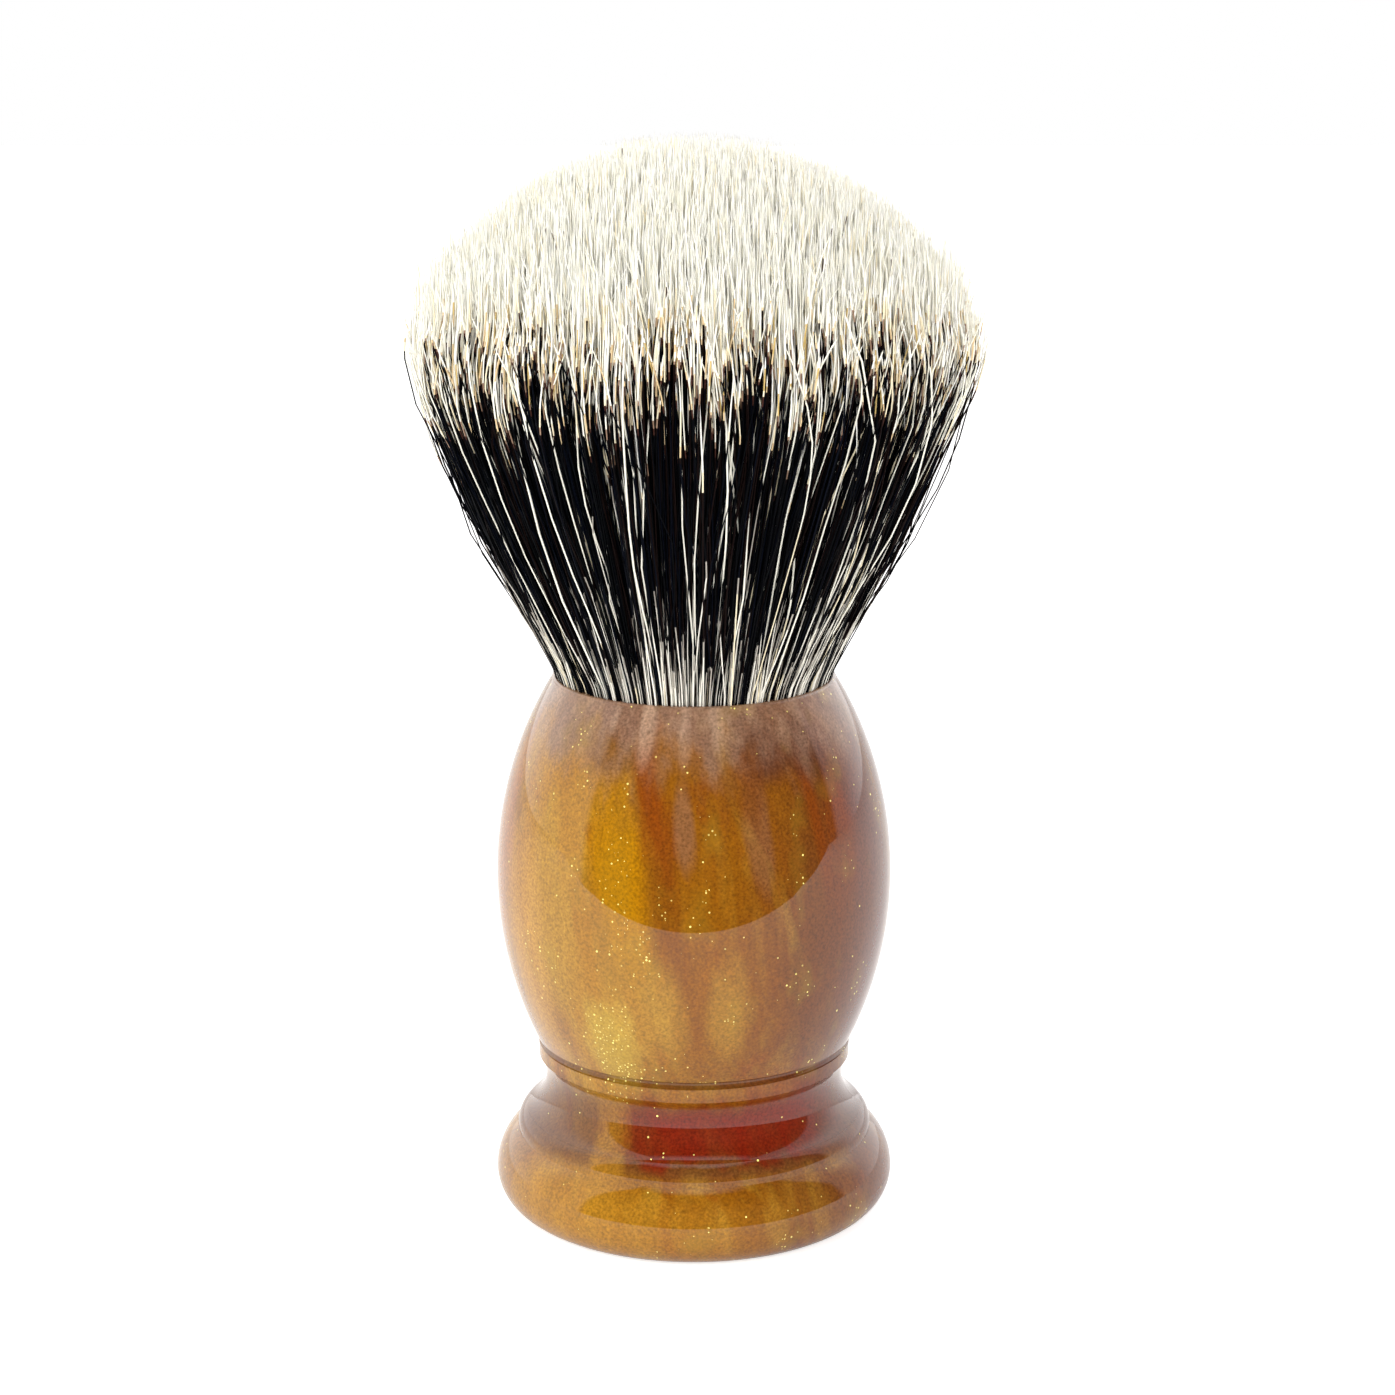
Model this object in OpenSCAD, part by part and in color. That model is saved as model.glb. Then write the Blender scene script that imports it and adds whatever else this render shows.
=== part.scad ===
// Shaving brush: a turned one-piece resin handle with a fan-shaped hair knot glued in its socket.
// Millimetres, +Z up, origin at the centre of the foot's flat underside.

/* [Handle] */
// Height of the handle, from the table to the rim of its mouth
handle_h = 51.6; // [51.5:0.1:51.8]
// Greatest radius of the barrel
barrel_r = 18.4; // [18.3:0.1:18.5]
// Height of the barrel's widest point
barrel_belly_z = 32.5; // [32.3:0.1:32.7]
// Outer radius of the rim at the mouth
mouth_r = 13.1; // [13.05:0.05:13.15]
// Radius of the rounding on the rim
rim_round = 0.28; // [0.15:0.01:0.3]
// Radius of the narrow collar under the barrel
collar_r = 14.7; // [14.5:0.1:15]
// Height of the turned line between barrel and collar
collar_line_z = 16.6; // [16.4:0.1:16.8]
// Radius of the tool tip that cut the turned line
line_tip_r = 0.42; // [0.3:0.01:0.5]

/* [Waist and foot] */
// Radius of the waist at its narrowest
waist_r = 14; // [13.8:0.1:14.2]
// Height of the waist's narrowest point
waist_z = 12.75; // [12.7:0.05:12.8]
// Radius of the cove that forms the waist
cove_r = 3.8; // [3.7:0.05:3.9]
// Greatest radius of the bead above the foot
bead_r = 16.75; // [16.6:0.05:16.8]
// Height of the bead's widest point
bead_z = 7.75; // [7.6:0.05:7.8]
// Radius of the bead's round section
bead_round = 2; // [1.9:0.05:2.1]
// Radius of the crisp edge where the waist meets the bead
bead_edge_r = 15.85; // [15.75:0.05:15.9]
// Greatest radius of the foot
foot_r = 18.8; // [18.5:0.1:19.2]
// Height of the foot's widest point
foot_belly_z = 3.5; // [3.4:0.1:3.6]
// Radius of the foot's shoulder, above its widest point
foot_shoulder_round = 5; // [4.8:0.1:5.2]

/* [Socket and plug] */
// Radius of the bored socket
socket_r = 12.4; // [12.3:0.05:12.5]
// Depth of the socket below the rim
socket_depth = 12; // [11:0.5:15]
// Depth of the mark that the drill's centre point leaves in the socket floor
drill_mark_depth = 1.2; // [0.8:0.1:2]
// Radius of the cast plug that holds the hair roots
plug_r = 12; // [11.9:0.05:12.1]
// Height of the cast plug
plug_h = 9; // [8:0.5:9.5]
// Thickness of the plug's floor, below the hair roots
plug_floor = 2.6; // [2:0.1:3]
// Thickness of the adhesive under the plug
glue_floor = 0.8; // [0.4:0.1:1]
// Radius of the tied bundle of hair roots
root_bundle_r = 11; // [10.5:0.1:11.3]
// Thickness of the tying thread
thread_d = 0.5; // [0.4:0.05:0.6]
// Number of turns of tying thread
thread_turns = 5; // [3:1:6]

/* [Hair] */
// Radius of the hair bundle where it clears the rim
hair_mouth_r = 12.85; // [12.7:0.05:12.9]
// Greatest radius of the fanned-out hair
hair_fan_r = 25.4; // [24:0.2:26]
// Height of the fan's widest point
hair_fan_z = 82; // [80:0.5:84]
// Height of the dome of hair tips at its middle
hair_top_z = 101; // [100:0.5:103]
// Radius of the dome's rounded edge
hair_edge_round = 13; // [12:0.5:14]

/* [Bending] */
// Height above the rim of the point about which the free hair bends
bend_height = 8; // [7.5:0.5:9]
// Radius of the ball-shaped top of the stiff root part of the hair
bend_ball_r = 16; // [15.8:0.1:16.4]
// Gap between the stiff and the free hair
bend_gap = 0.3; // [0.25:0.05:0.5]

/* [Hidden] */
$fn = 120;

// Radius of an arc that is upright at its widest point and dr inside it at a height of dz from there
function upright_arc_r(dr, dz) = (dr * dr + dz * dz) / (2 * dr);

rim_centre_z = handle_h - rim_round;
barrel_arc_r = upright_arc_r(barrel_r - mouth_r, rim_centre_z - barrel_belly_z);
cove_x = waist_r + cove_r;
line_depth_x = collar_r + line_tip_r / 3;
bead_x = bead_r - bead_round;
foot_top_z = bead_z - 0.2;
foot_edge_round = foot_belly_z;

socket_floor_z = handle_h - socket_depth;
drill_mark_r = 1.5;
plug_z = socket_floor_z + glue_floor;
plug_top_z = plug_z + plug_h;
roots_z = plug_z + plug_floor;
thread_r = thread_d / 2;
thread_z = roots_z + 1.5;
thread_pitch = 1.4 * thread_d;

bend_z = handle_h + bend_height;
hair_clear_z = handle_h + 0.4;
hair_neck_r = socket_r - 0.1;

// The dome is an arc about a point on the axis that runs smoothly into the rounded edge
edge_x = hair_fan_r - hair_edge_round;
dome_rise = hair_top_z - hair_fan_z;
dome_r = (edge_x * edge_x + dome_rise * dome_rise - hair_edge_round * hair_edge_round)
    / (2 * (dome_rise - hair_edge_round));
dome_centre_z = hair_top_z - dome_r;
dome_angle = atan2(hair_fan_z - dome_centre_z, edge_x);
dome_join = [dome_r * cos(dome_angle), dome_centre_z + dome_r * sin(dome_angle)];

// The straight side of the fan leaves the mouth and touches the rounded edge
side_dx = edge_x - hair_mouth_r;
side_dz = hair_fan_z - hair_clear_z;
side_span = norm([side_dx, side_dz]);
side_angle = atan2(side_dz, side_dx) - asin(hair_edge_round / side_span);
side_length = sqrt(side_span * side_span - hair_edge_round * hair_edge_round);
side_join = [hair_mouth_r + side_length * cos(side_angle), hair_clear_z + side_length * sin(side_angle)];

// Keeps the part of an outline between two heights and outside the axis
module between(low, high) {
    intersection() {
        children();
        translate([0, low]) square([2 * hair_fan_r, high - low]);
    }
}

module barrel_outline() {
    between(collar_line_z, rim_centre_z)
        translate([barrel_r - barrel_arc_r, barrel_belly_z]) circle(r = barrel_arc_r);
    translate([0, rim_centre_z]) square([mouth_r - rim_round, rim_round]);
    between(rim_centre_z, handle_h)
        translate([mouth_r - rim_round, rim_centre_z]) circle(r = rim_round);
}

// The collar and the bead, with the waist that a round tool has hollowed between them
module waist_outline() {
    difference() {
        union() {
            translate([0, bead_z]) square([collar_r, collar_line_z - bead_z]);
            translate([0, bead_z]) square([bead_edge_r, waist_z - bead_z]);
            translate([bead_x, bead_z]) circle(r = bead_round);
        }
        translate([cove_x, waist_z]) circle(r = cove_r);
    }
}

module foot_outline() {
    between(foot_belly_z, foot_top_z)
        translate([foot_r - foot_shoulder_round, foot_belly_z]) circle(r = foot_shoulder_round);
    between(0, foot_belly_z)
        translate([foot_r - foot_edge_round, foot_belly_z]) circle(r = foot_edge_round);
    square([foot_r - foot_edge_round, bead_z]);
}

module socket_outline() {
    translate([0, socket_floor_z]) square([socket_r, socket_depth + 1]);
    polygon([[0, socket_floor_z - drill_mark_depth], [drill_mark_r, socket_floor_z], [0, socket_floor_z]]);
}

module handle() {
    color("peru") rotate_extrude() difference() {
        union() {
            barrel_outline();
            waist_outline();
            foot_outline();
        }
        translate([line_depth_x, collar_line_z]) circle(r = line_tip_r);
        socket_outline();
    }
}

// Adhesive that fills the socket around and under the plug
module glue_bed() {
    color("khaki") rotate_extrude() difference() {
        union() {
            translate([0, socket_floor_z]) square([socket_r, plug_top_z - socket_floor_z]);
            polygon([[0, socket_floor_z - drill_mark_depth], [drill_mark_r, socket_floor_z], [0, socket_floor_z]]);
        }
        translate([0, plug_z]) square([plug_r, plug_h + 1]);
    }
}

// The turns of thread sink half into the hair and half into the plug
module thread_sections() {
    for (i = [0 : thread_turns - 1])
        translate([root_bundle_r, thread_z + i * thread_pitch]) circle(r = thread_r, $fn = 32);
}

// Cup of cast resin around the hair roots, with the tying thread bedded in its wall
module root_plug() {
    color("ivory") rotate_extrude() difference() {
        translate([0, plug_z]) square([plug_r, plug_h]);
        translate([0, roots_z]) square([root_bundle_r, plug_h]);
        thread_sections();
    }
}

module binding_thread() {
    color("gray") rotate_extrude() thread_sections();
}

module hair_roots() {
    color("dimgray") rotate_extrude() difference() {
        translate([0, roots_z]) square([root_bundle_r, plug_top_z - roots_z]);
        thread_sections();
    }
}

module hair_outline() {
    translate([0, plug_top_z]) square([hair_neck_r, hair_clear_z - plug_top_z]);
    polygon([[0, handle_h], [hair_neck_r, handle_h], [hair_mouth_r, hair_clear_z], side_join, dome_join,
        [0, dome_join[1]]]);
    between(side_join[1], dome_join[1]) translate([edge_x, hair_fan_z]) circle(r = hair_edge_round);
    between(dome_join[1], hair_top_z) translate([0, dome_centre_z]) circle(r = dome_r);
}

module hair_shoulder() {
    color("black") rotate_extrude() intersection() {
        hair_outline();
        translate([0, bend_z]) circle(r = bend_ball_r);
    }
}

module hair_crown() {
    color("floralwhite") rotate_extrude() difference() {
        hair_outline();
        translate([0, bend_z]) circle(r = bend_ball_r + bend_gap);
        square([hair_fan_r, bend_z]);
    }
}

handle();
glue_bed();
root_plug();
binding_thread();
hair_roots();
hair_shoulder();
hair_crown();
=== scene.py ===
"""Shaving brush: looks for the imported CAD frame. Metres, +Z up; MM turns millimetres into metres."""
import math

import bpy
import numpy as np
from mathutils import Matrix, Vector


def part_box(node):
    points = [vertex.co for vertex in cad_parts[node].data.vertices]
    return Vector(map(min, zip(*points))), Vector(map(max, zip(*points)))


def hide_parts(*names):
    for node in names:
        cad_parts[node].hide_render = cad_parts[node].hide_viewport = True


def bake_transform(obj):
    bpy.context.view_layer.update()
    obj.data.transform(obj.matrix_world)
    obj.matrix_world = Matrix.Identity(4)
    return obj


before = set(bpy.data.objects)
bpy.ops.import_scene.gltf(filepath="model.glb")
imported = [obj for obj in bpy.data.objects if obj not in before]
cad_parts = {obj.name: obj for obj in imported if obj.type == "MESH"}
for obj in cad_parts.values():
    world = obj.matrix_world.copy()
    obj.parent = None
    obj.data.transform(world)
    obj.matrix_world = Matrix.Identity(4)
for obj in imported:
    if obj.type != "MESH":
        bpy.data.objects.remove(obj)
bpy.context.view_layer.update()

MM = 0.001
RNG = np.random.default_rng(20)

_, HANDLE_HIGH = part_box("handle")
_, PLUG_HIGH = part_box("root_plug")
_, CROWN_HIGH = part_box("hair_crown")
RIM_Z = HANDLE_HIGH.z


# ---------------------------------------------------------------- node and colour helpers

def srgb(r, g, b):
    """A colour given in 0-255 display values, as linear RGBA."""
    def linear(v):
        v /= 255
        return v / 12.92 if v <= 0.04045 else ((v + 0.055) / 1.055) ** 2.4
    return (linear(r), linear(g), linear(b), 1.0)


class Nodes:
    """Short calls for building a node tree."""

    def __init__(self, tree):
        self.tree = tree

    def add(self, kind, **settings):
        node = self.tree.nodes.new(kind)
        inputs = settings.pop("inputs", {})
        for key, value in settings.items():
            setattr(node, key, value)
        for key, value in inputs.items():
            self.put(node, key, value)
        return node

    def put(self, node, key, value):
        if isinstance(value, bpy.types.NodeSocket):
            self.tree.links.new(value, node.inputs[key])
        else:
            node.inputs[key].default_value = value

    def math(self, operation, a, b=0.0, c=0.0):
        node = self.add("ShaderNodeMath", operation=operation)
        for i, value in enumerate((a, b, c)):
            self.put(node, i, value)
        return node.outputs[0]

    def step(self, value, low, high):
        """0 below low, 1 above high, smooth between."""
        node = self.add("ShaderNodeMapRange", interpolation_type="SMOOTHSTEP")
        for key, v in enumerate((value, low, high)):
            self.put(node, key, v)
        return node.outputs[0]

    def span(self, value, low, high, bottom, top):
        """The value's place between low and high, carried over to between bottom and top."""
        node = self.add("ShaderNodeMapRange")
        for key, v in enumerate((value, low, high, bottom, top)):
            self.put(node, key, v)
        return node.outputs[0]

    def mix(self, factor, a, b):
        """Colour a where the factor is 0, b where it is 1."""
        # The node's sockets for colours are inputs 6 and 7 and output 2
        node = self.add("ShaderNodeMix", data_type="RGBA", inputs={0: factor, 6: a, 7: b})
        return node.outputs[2]

    def shade(self, colour, factor):
        """The colour, or another vector, times the factor."""
        scaled = self.add("ShaderNodeVectorMath", operation="SCALE", inputs={0: colour, "Scale": factor})
        return scaled.outputs[0]

    def object_mm(self):
        """The point on the object at rest, in millimetres."""
        return self.shade(self.add("ShaderNodeTexCoord").outputs["Object"], 1 / MM)

    def both(self, a, b):
        """The product of two masks: 1 where both are."""
        return self.math("MULTIPLY", a, b)

    def split(self, vector):
        return self.add("ShaderNodeSeparateXYZ", inputs={0: vector}).outputs

    def noise(self, vector, size, offset=0.0, detail=2.0, distortion=0.0):
        """Noise whose features are about size across; size is one number, or one for each axis."""
        x, y, z = (size,) * 3 if isinstance(size, (int, float)) else size
        scaled = self.add("ShaderNodeMapping", inputs={
            "Vector": vector, "Location": (offset,) * 3, "Scale": (1 / x, 1 / y, 1 / z)})
        noise = self.add("ShaderNodeTexNoise", inputs={
            "Vector": scaled.outputs[0], "Scale": 1.0, "Detail": detail, "Distortion": distortion})
        return noise.outputs[0]

    def finish(self, shader):
        out = self.add("ShaderNodeOutputMaterial")
        self.tree.links.new(shader.outputs[0], out.inputs[0])


def new_material(name, kind=Nodes):
    """A material, and its empty node tree wrapped in Nodes or in a class made from it."""
    mat = bpy.data.materials.new(name)
    mat.use_nodes = True
    mat.node_tree.nodes.clear()
    return mat, kind(mat.node_tree)


def principled(n, **inputs):
    """A Principled shader wired to the material output; keys use _ for spaces."""
    shader = n.add("ShaderNodeBsdfPrincipled")
    for key, value in inputs.items():
        n.put(shader, key.replace("_", " "), value)
    n.finish(shader)


# ---------------------------------------------------------------- camera, floor and light

WHITE = (1, 1, 1, 1)

# Worked out from the ellipses of the rim, the turned line and the foot in the photo
CAMERA_DISTANCE = 292.7 * MM
CAMERA_HEIGHT = 123.9 * MM
CAMERA_PITCH = math.radians(14.32)
CAMERA_SIDE = 0.33 * MM
CAMERA_LENS = 84.35


def make_camera():
    data = bpy.data.cameras.new("camera")
    data.lens = CAMERA_LENS
    data.sensor_width = 36.0
    data.clip_start = 0.01
    cam = bpy.data.objects.new("camera", data)
    cam.location = (CAMERA_SIDE, -CAMERA_DISTANCE, CAMERA_HEIGHT)
    cam.rotation_euler = (math.pi / 2 - CAMERA_PITCH, 0, 0)
    bpy.context.collection.objects.link(cam)
    bpy.context.scene.camera = cam


def set_view():
    view = bpy.context.scene.view_settings
    view.view_transform = "Standard"
    view.look = "None"
    view.exposure = 0.0
    view.gamma = 1.0


# Azimuths are measured from the camera's side towards +X. The back wall begins at an angle from TENT_CENTRE
TENT_CENTRE = math.radians(5)
BACK_START = math.radians(95)
BACK_FULL = math.radians(125)
OPENING_CENTRE = math.radians(13)
OPENING_HALF_WIDTH = math.radians(80)
OPENING_BLUR = 0.05
OPENING_TOP = math.sin(math.radians(72))
OPENING_LIGHT = (0.055, 0.042, 0.034, 1)
LEFT_WALL = (1.40, 1.30, 1.20, 1)
RIGHT_WALL = (1.02, 0.84, 0.88, 1)
BACK_WALL = (1.85, 1.85, 1.85, 1)
CEILING = (1.45, 1.45, 1.45, 1)


def make_world():
    """A white light tent, open to the dark room on the camera's side."""
    world = bpy.data.worlds.new("light_tent")
    world.use_nodes = True
    world.node_tree.nodes.clear()
    n = Nodes(world.node_tree)
    x, y, z = n.split(n.add("ShaderNodeTexCoord").outputs["Generated"])
    azimuth = n.math("ARCTAN2", x, n.math("MULTIPLY", y, -1.0))
    aside = n.math("ABSOLUTE", n.math("SUBTRACT", azimuth, OPENING_CENTRE))
    behind = n.math("ABSOLUTE", n.math("SUBTRACT", azimuth, TENT_CENTRE))
    cloth = n.mix(n.step(x, -0.5, 0.5), LEFT_WALL, RIGHT_WALL)
    cloth = n.mix(n.step(behind, BACK_START, BACK_FULL), cloth, BACK_WALL)
    above = n.step(z, OPENING_TOP - 0.04, OPENING_TOP + 0.03)
    cloth = n.mix(above, cloth, CEILING)
    outside = n.step(aside, OPENING_HALF_WIDTH - OPENING_BLUR, OPENING_HALF_WIDTH + OPENING_BLUR)
    light = n.mix(n.math("MAXIMUM", outside, above), OPENING_LIGHT, cloth)
    tent = n.add("ShaderNodeBackground", inputs={"Color": light, "Strength": 1.0})
    paper = n.add("ShaderNodeBackground", inputs={"Color": WHITE, "Strength": 1.0})
    seen = n.add("ShaderNodeLightPath").outputs["Is Camera Ray"]
    both = n.add("ShaderNodeMixShader", inputs={0: seen, 1: tent.outputs[0], 2: paper.outputs[0]})
    out = n.add("ShaderNodeOutputWorld")
    world.node_tree.links.new(both.outputs[0], out.inputs[0])
    bpy.context.scene.world = world


FLOOR_FRONT = 114 * MM
FLOOR_SIDE = 1.2
FLOOR_COLOUR = (0.80, 0.80, 0.80, 1)
FLOOR_GLOW = 0.1
FLOOR_GLOW_IN_PICTURE = 0.6


def make_floor():
    """White paper, which glows so that the camera sees it as white as the tent. Its front edge lies before
    the brush, out of the picture."""
    mesh = bpy.data.meshes.new("floor")
    side, front = FLOOR_SIDE, -FLOOR_FRONT
    corners = [(-side, front, 0), (side, front, 0), (side, side, 0), (-side, side, 0)]
    mesh.from_pydata(corners, [], [(0, 1, 2, 3)])
    floor = bpy.data.objects.new("floor", mesh)
    bpy.context.collection.objects.link(floor)
    mat, n = new_material("floor_paper")
    paper = n.add("ShaderNodeBsdfDiffuse", inputs={"Color": FLOOR_COLOUR})
    seen = n.add("ShaderNodeLightPath").outputs["Is Camera Ray"]
    strength = n.span(seen, 0, 1, FLOOR_GLOW, FLOOR_GLOW_IN_PICTURE)
    glow = n.add("ShaderNodeEmission", inputs={"Color": WHITE, "Strength": strength})
    n.finish(n.add("ShaderNodeAddShader", inputs={0: paper.outputs[0], 1: glow.outputs[0]}))
    mesh.materials.append(mat)


def make_area_light(name, place, size, power, colour):
    """A round lamp aimed at the brush, which lights it but isn't mirrored in it."""
    data = bpy.data.lights.new(name, "AREA")
    data.shape = "DISK"
    data.size = size
    data.energy = power
    data.color = colour
    lamp = bpy.data.objects.new(name, data)
    lamp.location = place
    aim = Vector((0, 0, 0.05)) - Vector(place)
    lamp.rotation_euler = aim.to_track_quat("-Z", "Y").to_euler()
    lamp.visible_glossy = False
    bpy.context.collection.objects.link(lamp)


def make_lamps():
    """Two soft lamps at the sides of the camera, and a weaker one above it."""
    make_area_light("key", (-0.55, -0.45, 0.26), 0.6, 4.8, (1.0, 0.99, 0.97))
    make_area_light("fill", (0.50, -0.50, 0.22), 0.6, 4.2, (1.0, 0.99, 0.98))
    make_area_light("front", (0.0, -0.70, 0.31), 0.6, 3.1, (1.0, 0.99, 0.98))


# ---------------------------------------------------------------- resin handle

GOLDEN = srgb(146, 102, 22)
SAND = srgb(150, 112, 32)
AMBER = srgb(118, 70, 3)
# Brown of the right side, partly painted shade
SHADED_BROWN = srgb(90, 46, 14)
MAUVE = srgb(88, 50, 42)
YELLOW = srgb(146, 98, 1)
DEEP = srgb(102, 52, 4)
RUST = srgb(112, 48, 3)
RED = srgb(101, 18, 2)
# Smoky pigment, also used as painted shade in the crease of the turned line
SMOKE_AND_SHADE = srgb(76, 38, 20)
# Milky pigment, also used for the painted pale sheen under the rim
MILK_AND_SHEEN = srgb(112, 85, 71)
# Painted pale sheen under the rim
PALE_SHEEN = srgb(132, 105, 87)
OLIVE = srgb(146, 120, 30)
HONEY = srgb(172, 126, 50)
ROSE = srgb(140, 84, 60)
STRAW = srgb(182, 152, 58)
CREAM = srgb(196, 170, 146)
GLITTER = srgb(250, 234, 130)

# Swirls of pigment: colour, strength, then the swirl's place round from the front, height, half width,
# half height (all in millimetres) and lean
SWIRLS = [
    (SAND, 0.7, -14.5, 31.0, 2.8, 9.0, 0.15),
    (SAND, 0.6, -3.5, 25.0, 2.2, 5.0, 0.10),
    (SAND, 0.5, 3.5, 24.0, 2.0, 4.5, 0.0),
    (MAUVE, 0.5, -25.0, 6.0, 4.0, 5.0, 0.0),
    (MAUVE, 0.75, 20.6, 31.0, 4.5, 15.0, 0.0),
    (MAUVE, 0.25, -21.0, 38.0, 3.0, 7.0, 0.0),
    (HONEY, 0.5, -19.2, 31.0, 2.6, 10.0, 0.05),
    (ROSE, 0.45, -24.5, 36.0, 2.6, 9.0, 0.0),
    (YELLOW, 1.0, -6.9, 36.5, 2.6, 7.5, 0.20),
    (RUST, 0.8, -3.9, 42.3, 1.5, 6.0, 0.30),
    (RUST, 0.6, 12.8, 41.5, 0.8, 6.0, 0.10),
    (RUST, 0.6, 15.6, 38.0, 2.0, 6.0, 0.0),
    (DEEP, 0.6, -2.4, 34.0, 1.8, 7.0, 0.10),
    (MILK_AND_SHEEN, 0.35, -0.9, 41.0, 0.9, 3.4, 0.05),
    (MILK_AND_SHEEN, 0.22, 6.2, 41.5, 1.3, 5.0, 0.05),
    (SMOKE_AND_SHADE, 0.8, 7.5, 47.6, 3.0, 2.2, 0.0),
    (SMOKE_AND_SHADE, 0.8, 13.5, 47.4, 2.4, 2.4, 0.0),
    (SMOKE_AND_SHADE, 0.5, -9.5, 47.5, 2.6, 2.0, 0.0),
    (GOLDEN, 0.6, -9.0, 22.0, 3.5, 8.0, 0.0),
    # Partly painted shade of the right side
    (SHADED_BROWN, 0.7, 15.0, 25.0, 5.0, 12.0, 0.0),
    (STRAW, 0.5, -9.4, 21.0, 2.8, 3.6, 0.0),
    (RUST, 0.5, 10.5, 15.6, 5.5, 2.6, 0.0),
]

# Swirls over the painted pale sheen under the rim
RIM_SWIRLS = [
    (CREAM, 0.22, -5.6, 50.0, 0.9, 2.8, 0.0),
    (CREAM, 0.14, -1.0, 50.0, 0.7, 2.6, 0.0),
    (CREAM, 0.14, 2.6, 50.2, 0.8, 2.4, 0.0),
    (DEEP, 0.65, 4.8, 45.0, 2.0, 2.6, 0.0),
]


# Height and least radius of the turned line, and the lean of the streaks, in millimetres
LINE_Z = 16.6
LINE_R = 14.6
STREAK_LEAN = 0.14


class Resin(Nodes):
    """Nodes for the resin, with its colour so far and the places and ripples that its layers share."""

    def __init__(self, tree):
        super().__init__(tree)
        self.mm = self.object_mm()
        self.x, y, self.z = self.split(self.mm)
        lean = self.math("MULTIPLY_ADD", self.z, STREAK_LEAN, self.x)
        self.flow = self.add("ShaderNodeCombineXYZ", inputs={0: lean, 1: y, 2: self.z}).outputs[0]
        turn = self.math("ARCTAN2", self.x, self.math("MULTIPLY", y, -1.0))
        self.arc = self.math("MULTIPLY", turn, HANDLE_HIGH.x / MM)
        self.radius = self.math("SQRT", self.math("ADD", self.both(self.x, self.x), self.both(y, y)))
        self.ripple = self.math("SUBTRACT", self.noise(self.flow, (2.2, 2.2, 14), 5.0, 4.0), 0.5)
        billow = self.math("SUBTRACT", self.noise(self.flow, (7, 7, 16), 21.0, 3.0), 0.5)
        self.across = self.math("MULTIPLY_ADD", billow, 16.0, self.x)
        self.waist = self.both(self.step(self.z, 7.2, 9.0), self.step(self.rippled(self.z, 5.0), 16.5, 12.5))
        # Lighter at the left, darker towards the right: partly the resin's tone, partly painted light and
        # shade
        self.colour = self.mix(self.step(self.across, -14.0, 1.0), GOLDEN, AMBER)

    def rippled(self, value, size):
        """The value, made ragged by about this size."""
        return self.math("MULTIPLY_ADD", self.ripple, size, value)

    def swirl(self, at, height, wide, tall, slant):
        """1 in the middle of an upright patch, fading to 0 at its ragged edge."""
        up = self.math("SUBTRACT", self.z, height)
        side = self.math("MULTIPLY_ADD", up, slant, self.math("SUBTRACT", self.arc, at))
        wide_part = self.math("POWER", self.math("DIVIDE", side, wide), 2.0)
        tall_part = self.math("POWER", self.math("DIVIDE", up, tall), 2.0)
        reach = self.math("SQRT", self.math("ADD", wide_part, tall_part))
        return self.step(self.rippled(reach, 2.0), 1.5, 0.5)

    def lay(self, pigment, mask, strength):
        """Covers the colour so far with a pigment where the mask is."""
        self.colour = self.mix(self.both(mask, strength), self.colour, pigment)

    def lay_swirls(self, swirls):
        for pigment, strength, *shape in swirls:
            self.lay(pigment, self.swirl(*shape), strength)


def lay_ground(n):
    """Golden at the left, amber in front and brown at the right, with leaning streaks and swirls. The
    lighter left and darker right are partly the resin's tone and partly painted light and shade, as from a
    lamp at the left.
    """
    # The brown at the right is partly painted shade
    n.lay(SHADED_BROWN, n.step(n.across, 2.0, 17.0), 1.0)
    sandy = n.step(n.noise(n.flow, (4.0, 4.0, 24), 3.0, 3.0, 0.6), 0.48, 0.70)
    n.lay(SAND, sandy, n.span(n.across, 4.0, 16.0, 0.55, 0.28))
    n.lay(DEEP, n.step(n.noise(n.flow, (4.2, 4.2, 22), 14.0, 3.0, 0.6), 0.48, 0.72), 0.5)
    n.lay(RUST, n.step(n.noise(n.flow, (3.0, 3.0, 20), 27.0, 3.0, 0.5), 0.58, 0.76), 0.5)
    n.lay_swirls(SWIRLS)


def lay_foot_and_waist(n):
    """A golden foot under a darker waist, which has a golden column at the left and is red in front."""
    foot = n.both(n.step(n.z, 7.2, 5.2), n.step(n.across, 14.0, -2.0))
    n.lay(GOLDEN, foot, 0.4)
    n.lay(SMOKE_AND_SHADE, n.waist, 0.75)
    n.lay(GOLDEN, n.swirl(-10.2, 11.0, 2.2, 6.0, 0.1), 0.6)
    above_bead = n.step(n.rippled(n.z, 3.0), 8.6, 10.0)
    side = n.rippled(n.x, 6.0)
    front = n.both(n.step(side, -9.5, -3.0), n.step(side, 14.0, 8.0))
    red = n.both(n.both(n.waist, above_bead), front)
    n.lay(RED, red, n.span(n.ripple, -0.25, 0.2, 0.65, 1.0))


def lay_rim_sheen(n):
    """Painted light: a pale sheen of light from above, in streaks that hang from the rim."""
    rim = n.step(n.rippled(n.z, 12.0), 44.0, 51.0)
    streaks = n.step(n.noise(n.mm, (1.3, 1.3, 30), 33.0, 3.0), 0.35, 0.70)
    n.lay(n.mix(streaks, MILK_AND_SHEEN, PALE_SHEEN), rim, 0.85)
    n.lay_swirls(RIM_SWIRLS)


def lay_turned_line_shade(n):
    """Painted shade: the crease at the bottom of the turned line is drawn dark."""
    near = n.step(n.math("ABSOLUTE", n.math("SUBTRACT", n.z, LINE_Z)), 0.55, 0.25)
    # Painted shade in the crease under the turned line
    n.lay(SMOKE_AND_SHADE, n.both(near, n.step(n.radius, LINE_R + 0.35, LINE_R)), 0.7)


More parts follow.
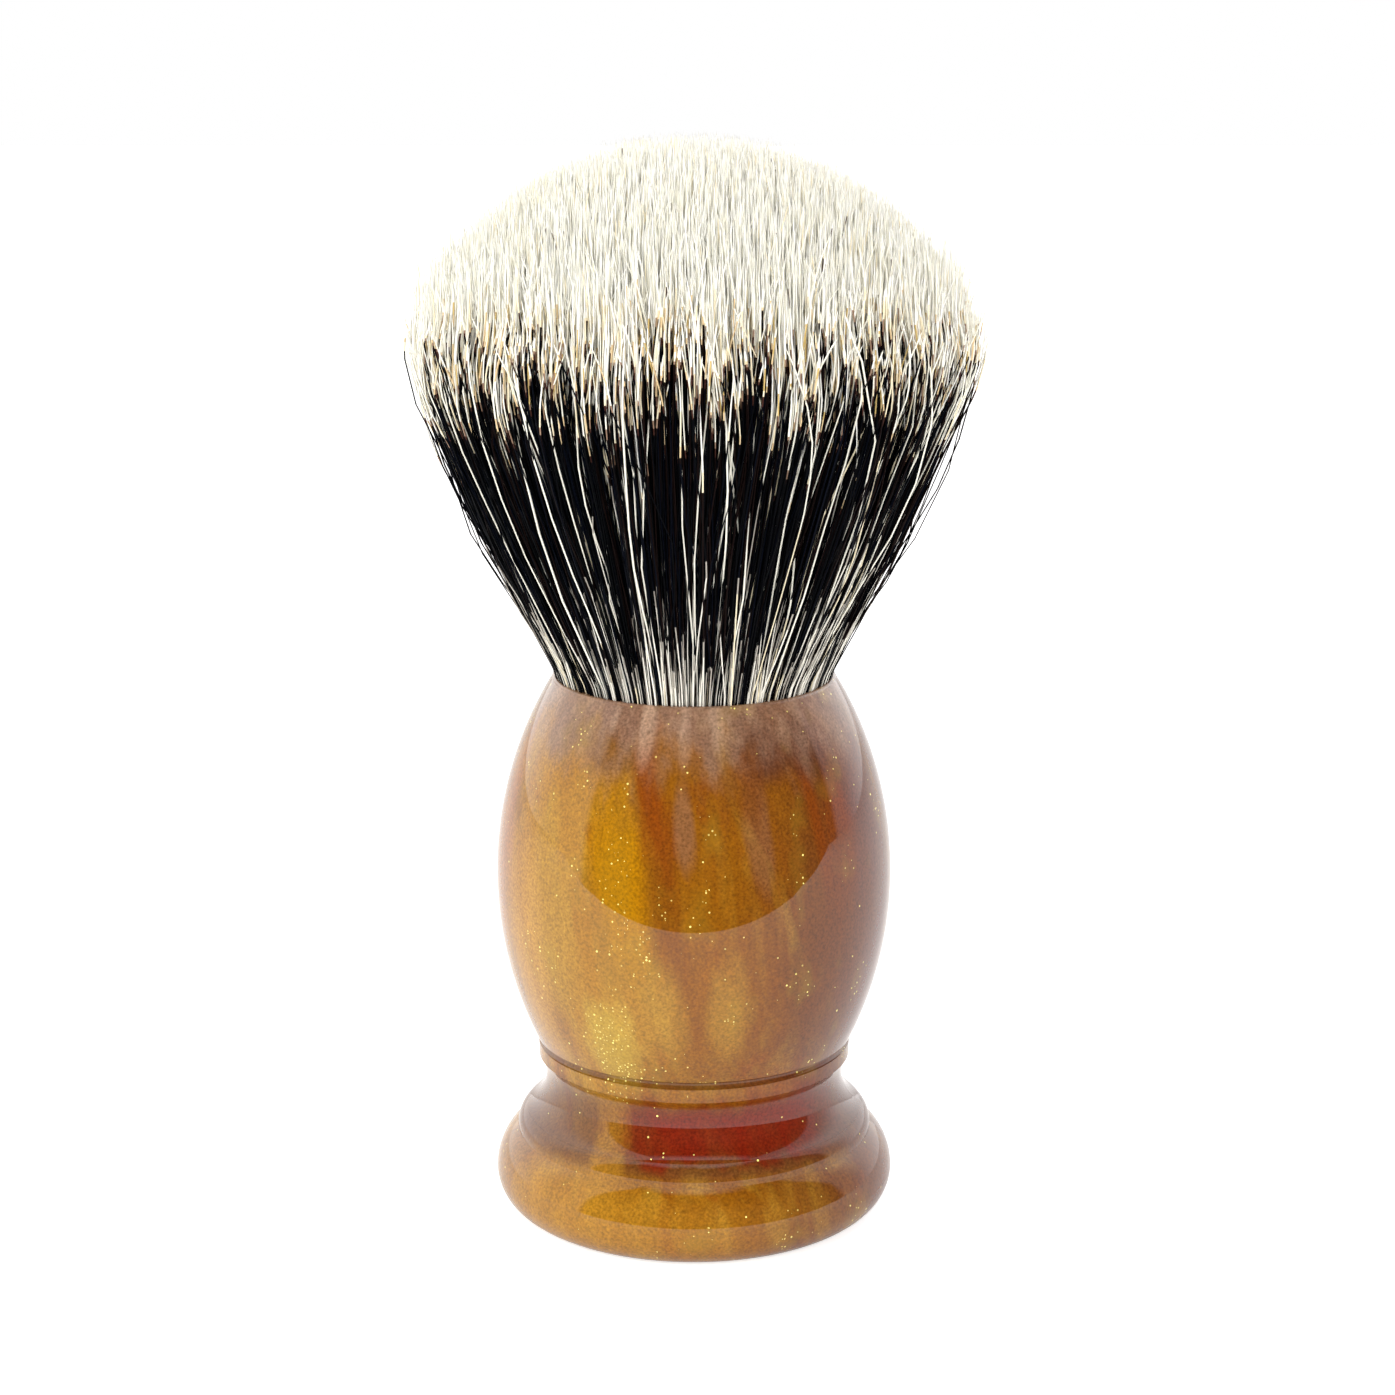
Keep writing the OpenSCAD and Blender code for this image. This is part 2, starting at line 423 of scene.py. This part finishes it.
def lay_grain(n):
    """Fine upright hairlines, and the grain of the pearl."""
    hairline = n.noise(n.mm, (0.5, 0.5, 12), 60.0, 3.0)
    n.colour = n.shade(n.colour, n.span(hairline, 0.3, 0.7, 0.95, 1.05))
    grain = n.noise(n.mm, 0.24, 80.0, 3.0)
    n.colour = n.shade(n.colour, n.span(grain, 0.25, 0.75, 0.60, 1.40))


def lay_glitter(n):
    """Gold flakes, crowded in clouds, in a chain and in a cluster. Returns the mask of the flakes."""
    cells = n.add("ShaderNodeTexVoronoi", inputs={"Vector": n.mm, "Scale": 3.6})
    chance, size, tone = n.split(cells.outputs["Color"])
    cloud = n.step(n.noise(n.mm, (4.0, 4.0, 7.0), 17.0, 2.0), 0.54, 0.74)
    cloud = n.both(cloud, n.math("SUBTRACT", 0.6, n.waist))
    chain = n.both(n.swirl(-7.9, 32.0, 1.4, 11.0, -0.05), 0.3)
    crowd = n.math("MAXIMUM", n.math("MAXIMUM", cloud, chain), n.swirl(-8.9, 20.0, 2.2, 4.6, 0.1))
    n.lay(OLIVE, crowd, 0.4)
    chosen = n.math("GREATER_THAN", chance, n.span(crowd, 0, 1, 0.992, 0.38))
    inside = n.math("LESS_THAN", cells.outputs["Distance"], n.span(size, 0, 1, 0.12, 0.38))
    flake = n.both(chosen, inside)
    n.lay(GLITTER, flake, n.span(tone, 0, 1, 0.3, 1.0))
    return flake


def make_resin():
    """Amber resin with upright swirls of pigment, pearl grain and gold flakes, under a clear polish."""
    mat, n = new_material("pearl_resin", Resin)
    lay_ground(n)
    lay_foot_and_waist(n)
    lay_rim_sheen(n)
    lay_turned_line_shade(n)
    lay_grain(n)
    flake = lay_glitter(n)
    rough = n.span(flake, 0, 1, 0.45, 0.25)
    principled(n, Base_Color=n.colour, Roughness=rough, Specular_IOR_Level=0.05, Coat_Weight=1.0,
               Coat_Roughness=0.02, Coat_IOR=1.5)
    return mat


# ---------------------------------------------------------------- pieces inside the handle

def make_epoxy(name, pale, deep, bubble_size):
    """Cast epoxy: cloudy colour, and small bubbles with painted shade in their pits."""
    mat, n = new_material(name)
    mm = n.object_mm()
    colour = n.mix(n.step(n.noise(mm, 3.0, 1.0, 3.0), 0.35, 0.65), pale, deep)
    bubbles = n.add("ShaderNodeTexVoronoi", inputs={"Vector": mm, "Scale": 1 / bubble_size})
    pit = n.step(bubbles.outputs["Distance"], 0.16, 0.24)
    # Painted shade: the colour is darker in the bubbles' pits
    colour = n.shade(colour, n.span(pit, 0, 1, 0.8, 1.0))
    bump = n.add("ShaderNodeBump", inputs={"Height": pit, "Distance": 0.1 * MM, "Strength": 0.4})
    rough = n.span(n.noise(mm, 0.8, 5.0, 2.0), 0.3, 0.7, 0.22, 0.4)
    principled(n, Base_Color=colour, Roughness=rough, Normal=bump.outputs[0])
    return mat


def make_thread():
    """Waxed tying thread: strands twisted round each other, with painted shade in the grooves between them.
    """
    mat, n = new_material("waxed_thread")
    mm = n.object_mm()
    x, y, z = n.split(mm)
    turn = n.math("MULTIPLY", n.math("ARCTAN2", x, y), 150.0)
    twist = n.math("SINE", n.math("MULTIPLY_ADD", z, 9.0, turn))
    fuzz = n.noise(mm, 0.12, 3.0, 3.0)
    light = n.span(n.math("MULTIPLY_ADD", fuzz, 0.8, twist), -0.6, 1.4, 0.0, 1.0)
    # Painted shade: darker where the twist runs low, in the grooves between strands
    colour = n.mix(light, srgb(120, 112, 98), srgb(214, 206, 188))
    bump = n.add("ShaderNodeBump", inputs={"Height": light, "Distance": 0.06 * MM, "Strength": 0.7})
    principled(n, Base_Color=colour, Roughness=0.6, Normal=bump.outputs[0])
    return mat


def make_potted_roots():
    """Hair roots soaked in epoxy, seen as fine pale and dark upright lines."""
    mat, n = new_material("potted_roots")
    mm = n.object_mm()
    line = n.step(n.noise(mm, (0.16, 0.16, 9), 2.0, 2.0), 0.42, 0.58)
    colour = n.mix(line, srgb(70, 60, 52), srgb(206, 196, 172))
    bump = n.add("ShaderNodeBump", inputs={"Height": line, "Distance": 0.05 * MM, "Strength": 0.5})
    principled(n, Base_Color=colour, Roughness=0.35, Normal=bump.outputs[0])
    return mat


def dress(node, mat):
    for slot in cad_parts[node].material_slots:
        slot.material = mat


def dress_cad_pieces():
    dress("handle", make_resin())
    dress("glue_bed", make_epoxy("glue_epoxy", srgb(214, 190, 120), srgb(186, 150, 84), 0.9))
    dress("root_plug", make_epoxy("plug_epoxy", srgb(228, 220, 198), srgb(206, 192, 160), 0.6))
    dress("binding_thread", make_thread())
    dress("hair_roots", make_potted_roots())


# ---------------------------------------------------------------- hair

# Lengths, heights and radii of the hair are in millimetres here, and become metres in hair_mesh

# The fan, as in the CAD: its straight side, its rounded edge and its dome
ROOT_Z = PLUG_HIGH.z / MM
CLEAR_Z = RIM_Z / MM + 0.4
TOP_Z = CROWN_HIGH.z / MM
FAN_R = CROWN_HIGH.x / MM
FAN_Z = 82.0
MOUTH_HAIR_R = 12.85
SOCKET_HAIR_R = 12.05
EDGE_ROUND = 13.0
EDGE_X = FAN_R - EDGE_ROUND
EDGE_TIP_Z = 85.4

# The black band: its usual and its highest top, how much lower that is inside the fan and at its two sides,
# how far single hairs and clumps stray from it, and the stretch of hair that goes from black to pale
BAND_TOP_Z = 82.4
BAND_LIMIT_Z = 87.5
INNER_DROP = 3.5
SIDE_DROP = 3.5
BAND_SPREAD = 4.4
CLUMP_BAND_SPREAD = 2.3
ROOT_BAND_LENGTH = 4.2
DUSK = (0.3, 0.9)
DIM = (0.9, 1.8)
DAWN = (2.2, 5.0)

# Hairs that turn pale near this height do so through gold
GOLD_Z = 81.5
GOLD_REACH = 4.5

# Clumps are hairs that dried together; locks are the sectors that the hair is kept in
HAIR_COUNT = 20000
CLUMP_COUNT = 540
STRAY_COUNT = 70
LOCKS = 10

# Shares of the hairs: coarse pale guard hairs, wild hairs that leave their clump, short ones, pale roots
GUARD_SHARE = 0.07
WILD_SHARE = 0.30
SHORT_SHARE = 0.05
WHITE_ROOT_SHARE = 0.47
FLECK_SHARE = 0.003

# A hair: its number of sides, its radius, how that changes from ring to ring, and the rings' least distance
SIDES = 3
GUARD_RADIUS = (0.08, 0.105)
HAIR_RADIUS = (0.065, 0.095)
RING_WIDTH = np.array([0.75, 0.8, 0.85, 0.9, 0.95, 1, 1, 1, 1, 1, 1, 1, 1, 0.9, 0.55, 0])
RING_ROOM = 0.25

HAIR = {
    "root_white": srgb(240, 237, 226),
    "root_grey": srgb(176, 170, 160),
    "black": srgb(4, 5, 8),
    # Black with a painted dark-blue sheen in its colour
    "black_blue_sheen": srgb(5, 8, 18),
    "black_brown": srgb(21, 12, 11),
    "brown": srgb(66, 40, 34),
    "taupe": srgb(146, 118, 98),
    "gold": srgb(206, 178, 112),
    "tan": srgb(222, 196, 152),
    "straw": srgb(244, 232, 200),
    "cream": srgb(249, 247, 233),
    "ivory": srgb(248, 248, 242),
}
SHADE = {name: i for i, name in enumerate(HAIR)}


def make_hair_materials():
    made = []
    for name, colour in HAIR.items():
        mat, n = new_material("hair_" + name)
        dark = name.startswith(("black", "brown"))
        principled(n, Base_Color=colour, Roughness=0.5, Specular_IOR_Level=0.04 if dark else 0.25)
        made.append(mat)
    return made


def pick(count, *choices):
    """One shade for each of count hairs; choices are (name, share)."""
    names, shares = zip(*choices)
    shares = np.array(shares) / sum(shares)
    return np.array([SHADE[name] for name in names])[RNG.choice(len(names), count, p=shares)]


def fan_side():
    """Slope of the fan's straight side, and the height where it runs into the rounded edge."""
    out, up = EDGE_X - MOUTH_HAIR_R, FAN_Z - CLEAR_Z
    angle = math.atan2(up, out) - math.asin(EDGE_ROUND / math.hypot(out, up))
    return 1 / math.tan(angle), CLEAR_Z + math.sqrt(out * out + up * up - EDGE_ROUND ** 2) * math.sin(angle)


def fan_width(z):
    """Radius of the outermost hairs at height z: they lean out, then follow the rounded edge."""
    slope, top = fan_side()
    side = MOUTH_HAIR_R + slope * np.maximum(z - CLEAR_Z, 0)
    edge = EDGE_X + np.sqrt(EDGE_ROUND ** 2 - (np.clip(z, top, EDGE_TIP_Z) - FAN_Z) ** 2)
    return np.where(z < top, side, edge)


def dome_height(share):
    """Height of the tips at this share of the fan's radius."""
    rise = TOP_Z - FAN_Z
    dome_r = (EDGE_X ** 2 + rise ** 2 - EDGE_ROUND ** 2) / (2 * (rise - EDGE_ROUND))
    r = share * fan_width(EDGE_TIP_Z)
    dome = TOP_Z - dome_r + np.sqrt(dome_r ** 2 - r ** 2)
    edge = FAN_Z + np.sqrt(EDGE_ROUND ** 2 - np.maximum(r - EDGE_X, 0) ** 2)
    join = EDGE_X * dome_r / (dome_r - EDGE_ROUND)
    return np.where(r < join, dome, edge)


def disc(count, inner=0.0):
    """Points spread evenly over a disc of radius 1, outside an inner radius."""
    radius = np.sqrt(RNG.uniform(inner ** 2, 1, count))
    angle = RNG.uniform(-np.pi, np.pi, count)
    return np.stack([np.cos(angle), np.sin(angle)], 1) * radius[:, None]


def keep_in(points, limit=1.0):
    """Points moved back to the limit radius where they lie outside it."""
    radius = np.linalg.norm(points, axis=1, keepdims=True)
    return points * np.minimum(1, limit / np.maximum(radius, 1e-9))


def ragged(angle, waves):
    """A smooth random function of the angle round the brush, about 1 in size."""
    phase = RNG.uniform(0, 2 * np.pi, len(waves))
    return sum(np.sin(k * angle + p) for k, p in zip(waves, phase)) / math.sqrt(len(waves) / 2)


def clump_facts(root):
    """Hairs that dry together lean to one point, bend alike, and share an offset of the black band."""
    centre = disc(CLUMP_COUNT)
    clump = np.argmin(((root[:, None] - centre[None]) ** 2).sum(2), 1)
    drift = centre + RNG.normal(0, 0.035, centre.shape)
    band = RNG.normal(0, CLUMP_BAND_SPREAD, CLUMP_COUNT)
    bow = RNG.normal(0, 0.45, centre.shape)
    wave = RNG.normal(0, 0.16, centre.shape)
    return drift[clump], band[clump], bow[clump], wave[clump]


def scatter(wild, loose, close):
    """A random sideways offset for each hair: loose is its size for wild hairs, close for the others."""
    return RNG.normal(0, 1, (len(wild), 2)) * np.where(wild, loose, close)


def tip_heights(end, outer, shortest):
    """Heights of the tips: most lie on the dome, and a few hairs are shorter."""
    count = len(end)
    dome = dome_height(np.minimum(np.linalg.norm(end, axis=1), 1.0)) + RNG.normal(0, 1.4, count) * outer
    short = np.abs(RNG.normal(0, 0.02, count))
    short += np.where(RNG.random(count) < SHORT_SHARE, RNG.uniform(0, shortest, count), 0)
    return dome - short * (dome - CLEAR_Z)


def band_tops(angle, outer, band, tip_z):
    """Height on each hair where the black band ends."""
    count = len(angle)
    side_drop = SIDE_DROP * np.cos(angle) ** 4
    top = BAND_TOP_Z + band + ragged(angle, (7, 13, 23, 37)) + RNG.normal(0, BAND_SPREAD, count) - side_drop
    highest = BAND_LIMIT_Z - INNER_DROP * (1 - outer) - side_drop
    limit = np.minimum(highest, tip_z - 0.8) - RNG.exponential(1.8, count)
    return np.minimum(top, limit)


def plan_hairs(root, end_limit=1.0, shortest=0.18):
    """Random facts for each hair: its end, its bow, and where it changes colour. root and end are places on
    the fan, as shares of its radius."""
    count = len(root)
    angle = np.arctan2(root[:, 1], root[:, 0])
    outer = np.clip((np.linalg.norm(root, axis=1) - 0.84) / 0.1, 0, 1)
    drift, band, bow, wave = clump_facts(root)
    guard = RNG.random(count) < GUARD_SHARE
    wild = (guard | (RNG.random(count) < WILD_SHARE))[:, None]
    gather = (0.08 + 0.2 * outer)[:, None]
    h = {"root": root, "guard": guard}
    h["end"] = keep_in(root + gather * (drift - root) + scatter(wild, 0.08, 0.013), end_limit)
    h["tip_z"] = tip_heights(h["end"], outer, shortest)
    h["bow"] = bow + scatter(wild, 0.6, 0.12)
    h["wave"] = wave + scatter(wild, 0.38, 0.05)
    h["curl"] = scatter(wild, 0.8, 0.1)
    h["phase"] = RNG.uniform(0, 2 * np.pi, (count, 1))
    h["white_root"] = (RNG.random(count) < WHITE_ROOT_SHARE + 0.13 * ragged(angle, (2, 5, 11, 19))) | guard
    h["root_end"] = CLEAR_Z + 1.2 + RNG.exponential(ROOT_BAND_LENGTH, count)
    h["band_end"] = band_tops(angle, outer, band, h["tip_z"])
    return h


def ring_heights(h):
    """Heights of each hair's rings, which crowd where it changes colour and at its tip."""
    count = len(h["tip_z"])
    fade_end = h["root_end"] + 1.6
    band = h["band_end"] - fade_end
    clear = np.full(count, CLEAR_Z + 0.5)
    keys = [np.full(count, ROOT_Z), clear, (clear + h["root_end"]) / 2, h["root_end"]]
    keys += [fade_end + band * share for share in (0, 0.25, 0.5, 0.75)]
    keys += [h["band_end"]]
    keys += [h["band_end"] + RNG.uniform(*reach, count) for reach in (DUSK, DIM, DAWN)]
    keys += [h["tip_z"] - below for below in (6.0, 2.6, 0.9, 0)]
    keys = np.stack(keys, 1)
    room = RING_ROOM * np.arange(keys.shape[1])
    keys = np.maximum.accumulate(keys - room, 1) + room
    return np.minimum(keys, h["tip_z"][:, None] - room[::-1])


def hair_lines(h, z):
    """Centre line of each hair at its ring heights."""
    up = np.clip((z - CLEAR_Z) / (h["tip_z"][:, None] - CLEAR_Z), 0, 1)[..., None]
    below = np.clip((CLEAR_Z - z) / (CLEAR_Z - ROOT_Z), 0, 1)[..., None]
    width = fan_width(z)[..., None] * (1 - below * (1 - SOCKET_HAIR_R / MOUTH_HAIR_R))
    drift = (h["end"] - h["root"]) * fan_width(h["tip_z"])[:, None]
    xy = h["root"][:, None] * width + drift[:, None] * up ** 2.4
    sway = np.sin(2.5 * np.pi * up + h["phase"][:, None]) - np.sin(h["phase"][:, None])
    xy = xy + h["curl"][:, None] * up ** 6
    xy = xy + h["bow"][:, None] * np.sin(np.pi * up) + h["wave"][:, None] * sway * np.minimum(1, 3 * up)
    return np.concatenate([xy, z[..., None]], 2)


def hair_shades(h):
    """Shade of each stretch between rings."""
    count = len(h["tip_z"])
    pale_root = pick(count, ("root_white", 0.75), ("root_grey", 0.15), ("straw", 0.1))
    # Some hairs of the black band carry a painted dark-blue sheen
    black = pick(count, ("black", 0.6), ("black_blue_sheen", 0.2), ("black_brown", 0.2))
    root = np.where(h["white_root"], pale_root, black)
    fade = np.where(h["white_root"], SHADE["root_grey"], black)
    dusk = pick(count, ("black_brown", 0.35), ("brown", 0.65))
    dim = pick(count, ("taupe", 0.5), ("tan", 0.3), ("straw", 0.2))
    tip = pick(count, ("ivory", 0.55), ("cream", 0.42), ("straw", 0.03))
    guard = pick(count, ("cream", 0.85), ("straw", 0.15))
    golden = pick(count, ("gold", 0.14), ("tan", 0.2), ("straw", 0.34), ("cream", 0.32))
    pale = pick(count, ("tan", 0.08), ("straw", 0.32), ("cream", 0.6))
    dawn = np.where(np.abs(h["band_end"] - GOLD_Z) < GOLD_REACH, golden, pale)
    fleck = np.where(RNG.random(count) < FLECK_SHARE, SHADE["brown"], tip)
    shades = np.stack([root] * 3 + [fade] + [black] * 4 + [dusk, dim, dawn, tip, tip, fleck, tip], 1)
    shades[h["guard"], 3:11] = guard[h["guard"], None]
    return shades


def hair_corners(count, rings):
    """Vertex numbers round every face of the hairs: first the sides, then the tips and the bottoms."""
    size = (rings - 1) * SIDES + 1
    side, beside = np.arange(SIDES), (np.arange(SIDES) + 1) % SIDES
    rows = np.arange(rings - 2)[:, None] * SIDES
    quads = np.stack([rows + side, rows + beside, rows + SIDES + beside, rows + SIDES + side], 2).reshape(-1)
    last = (rings - 2) * SIDES
    cone = np.stack([last + side, last + beside, np.full(SIDES, size - 1)], 1)
    tris = np.concatenate([cone, side[None, ::-1]]).reshape(-1)
    first = (np.arange(count) * size)[:, None]
    return np.concatenate([(quads + first).ravel(), (tris + first).ravel()])


def hair_mesh(name, centre, radius, shade):
    """Closed three-sided hairs. centre is (hairs, rings, 3), radius is (hairs, rings), and shade, for the
    stretches between rings, is (hairs, rings - 1)."""
    count, rings = radius.shape
    turn = RNG.uniform(0, 2 * np.pi, count)[:, None] + np.arange(SIDES) * 2 * np.pi / SIDES
    spoke = np.stack([np.cos(turn), np.sin(turn), np.zeros_like(turn)], 2)
    body = centre[:, :-1, None] + spoke[:, None] * radius[:, :-1, None, None]
    points = np.concatenate([body.reshape(count, -1, 3), centre[:, -1:]], 1)
    corners = hair_corners(count, rings)
    quad_count, tri_count = count * (rings - 2) * SIDES, count * (SIDES + 1)
    starts = np.concatenate([np.arange(quad_count) * 4, quad_count * 4 + np.arange(tri_count) * 3])
    quad_shade = np.repeat(shade[:, :-1], SIDES, axis=1)
    tri_shade = np.concatenate([np.repeat(shade[:, -1:], SIDES, 1), shade[:, :1]], 1)
    face_shade = np.concatenate([quad_shade.ravel(), tri_shade.ravel()])
    mesh = bpy.data.meshes.new(name)
    mesh.vertices.add(count * points.shape[1])
    mesh.vertices.foreach_set("co", (points * MM).astype(np.float32).ravel())
    mesh.loops.add(len(corners))
    mesh.loops.foreach_set("vertex_index", corners.astype(np.int32))
    mesh.polygons.add(quad_count + tri_count)
    mesh.polygons.foreach_set("loop_start", starts.astype(np.int32))
    mesh.polygons.foreach_set("material_index", face_shade.astype(np.int32))
    mesh.update(calc_edges=True)
    mesh.shade_smooth()
    piece = bpy.data.objects.new(name, mesh)
    bpy.context.collection.objects.link(piece)
    return piece


def place_hair(name, h, materials):
    """One piece of hair, from the mouth of the handle up into the free hair; the CAD's hair shoulder and
    crown are hidden.
    """
    z = ring_heights(h)
    count = len(z)
    radius = np.where(h["guard"], RNG.uniform(*GUARD_RADIUS, count), RNG.uniform(*HAIR_RADIUS, count))
    piece = hair_mesh(name, hair_lines(h, z), radius[:, None] * RING_WIDTH, hair_shades(h))
    for mat in materials:
        piece.data.materials.append(mat)
    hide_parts("hair_shoulder", "hair_crown")
    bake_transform(piece)


def make_hair():
    materials = make_hair_materials()
    h = plan_hairs(disc(HAIR_COUNT))
    angle = np.arctan2(h["root"][:, 1], h["root"][:, 0])
    lock = ((angle + np.pi) / (2 * np.pi) * LOCKS).astype(int).clip(0, LOCKS - 1)
    for i in range(LOCKS):
        place_hair(f"hair_lock_{i + 1}", {key: value[lock == i] for key, value in h.items()}, materials)
    strays = disc(STRAY_COUNT, inner=0.97)
    place_hair("hair_strays", plan_hairs(strays, end_limit=1.06, shortest=0.5), materials)


# ---------------------------------------------------------------- build

make_camera()
set_view()
make_world()
make_floor()
make_lamps()
dress_cad_pieces()
make_hair()
